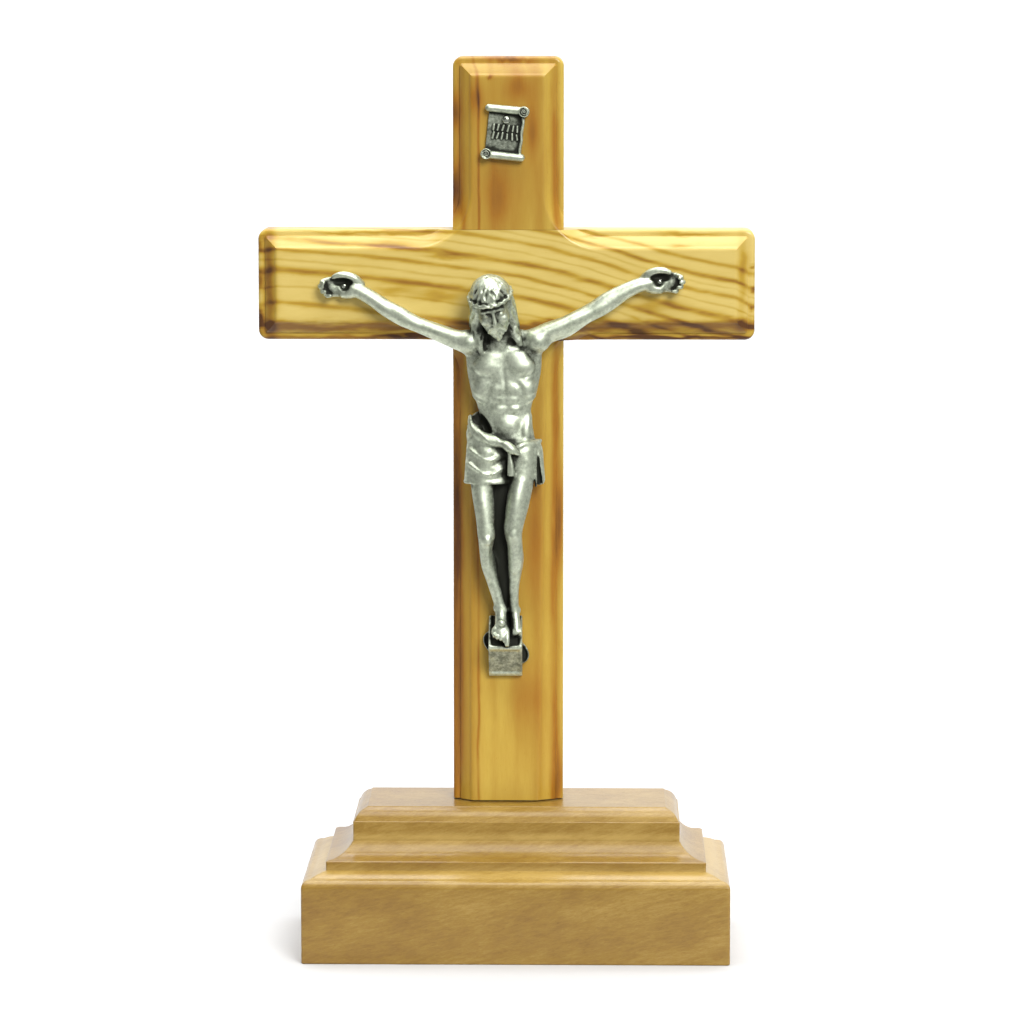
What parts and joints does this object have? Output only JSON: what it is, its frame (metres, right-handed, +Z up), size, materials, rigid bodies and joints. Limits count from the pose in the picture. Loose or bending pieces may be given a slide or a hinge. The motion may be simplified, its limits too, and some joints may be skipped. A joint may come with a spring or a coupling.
{
  "type": "standing crucifix",
  "caption": "Small standing cross of moulded olive wood on a stepped base, with a cast metal figure and a scroll pinned to it.",
  "frame": {"origin": "middle of the whole object's box, on the surface it stands on", "axes": "+Z up the post, -Y out of the front where the figure is, +X to the viewer's right"},
  "size_m": [0.105, 0.049, 0.1901],
  "materials": {
    "base_wood": "short-grained tan hardwood under a thin satin varnish",
    "olive_wood": "golden olive wood with brown growth bands, satin varnish",
    "antique_silver": "cast and plated, polished on the high places and dark in the recesses",
    "pin_metal": "bright round-headed pin"
  },
  "bodies": {
    "root": {"base": "base_wood", "post": "olive_wood", "crossbar": "olive_wood", "corpus": "antique_silver", "scroll": "antique_silver", "pin_hand_left": "pin_metal", "pin_hand_right": "pin_metal", "pin_scroll": "pin_metal"}
  },
  "joints": []
}
